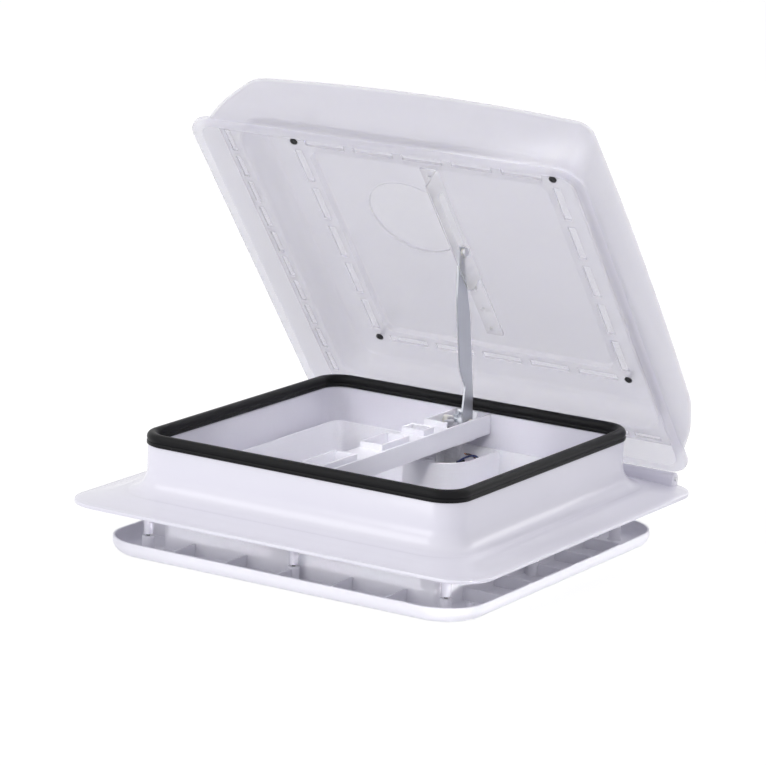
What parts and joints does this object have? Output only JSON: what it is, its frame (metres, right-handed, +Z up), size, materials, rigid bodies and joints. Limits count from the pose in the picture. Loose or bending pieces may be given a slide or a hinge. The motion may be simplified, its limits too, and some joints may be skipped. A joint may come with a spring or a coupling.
{
  "type": "caravan roof vent",
  "caption": "Square caravan roof vent: flanged white frame with a rubber rim seal, hinged frosted lid raised by a worm-driven arm, and a ceiling trim with fly screen.",
  "frame": {"origin": "centre of the square roof cut-out, on the roof skin under the flange", "axes": "+Z up out of the roof, +Y towards the lid's hinge, +X to the right seen from the open front"},
  "size_m": [0.463, 0.5195, 0.4547],
  "materials": {
    "white_plastic": "glossy white moulding",
    "frosted_plastic": "frosted translucent",
    "clear_plastic": "translucent, smooth",
    "blank_disc": "plain matt",
    "black_rubber": "glossy black rubber",
    "grey_plastic": "satin",
    "nylon": "satin",
    "net": "coated strands",
    "zinc_steel": "zinc coated",
    "bright_steel": "bright",
    "black_steel": "blackened",
    "blue_insulation": "satin",
    "brown_insulation": "satin",
    "copper": "bare wire"
  },
  "bodies": {
    "vent_base": {"roof_frame": "white_plastic", "rim_seal": "black_rubber", "inner_trim": "white_plastic", "trim_screws": "black_steel", "screen_frame": "white_plastic", "screen_mesh": "net", "screen_screws": "bright_steel", "cross_beam": "white_plastic", "beam_screws": "bright_steel", "lift_motor": "zinc_steel", "motor_screws": "bright_steel", "lead_grommet": "black_rubber", "lead_blue": "blue_insulation", "lead_brown": "brown_insulation", "lead_tips": "copper", "pivot_pin": "bright_steel", "pivot_clip": "black_steel", "pivot_spacers": "nylon", "hinge_rod": "bright_steel"},
    "drive_shaft": {"worm_shaft": "bright_steel", "hand_knob": "grey_plastic", "knob_screw": "bright_steel"},
    "arm": {"lift_arm": "zinc_steel", "sector_gear": "zinc_steel", "arm_rivets": "bright_steel", "tip_pin": "bright_steel", "slide_roller": "nylon"},
    "lid": {"lid_shell": "frosted_plastic", "lid_panel": "frosted_plastic", "panel_screws": "black_steel", "slide_rail": "clear_plastic", "rail_screws": "clear_plastic", "lid_disc": "blank_disc", "hinge_leaves": "frosted_plastic", "leaf_screws": "bright_steel"}
  },
  "joints": [
    {"name": "lid_hinge", "type": "hinge", "parent": "vent_base", "child": "lid", "pos_m": [0, 0.22, 0.01173], "axis": [1, 0, 0], "range_deg": [0, 51]},
    {"name": "arm_pivot", "type": "hinge", "parent": "vent_base", "child": "arm", "pos_m": [0, 0.143, 0.0505], "axis": [1, 0, 0], "range_deg": [0, 76]},
    {"name": "shaft_spin", "type": "hinge", "parent": "vent_base", "child": "drive_shaft", "pos_m": [-0.003, 0.1255, 0], "axis": [0, 0, 1], "range_deg": [0, 1216]}
  ],
  "couplings": [
    {"joint": "arm_pivot", "follows": "lid_hinge", "ratio": 1.481},
    {"joint": "shaft_spin", "follows": "lid_hinge", "ratio": 23.696}
  ]
}
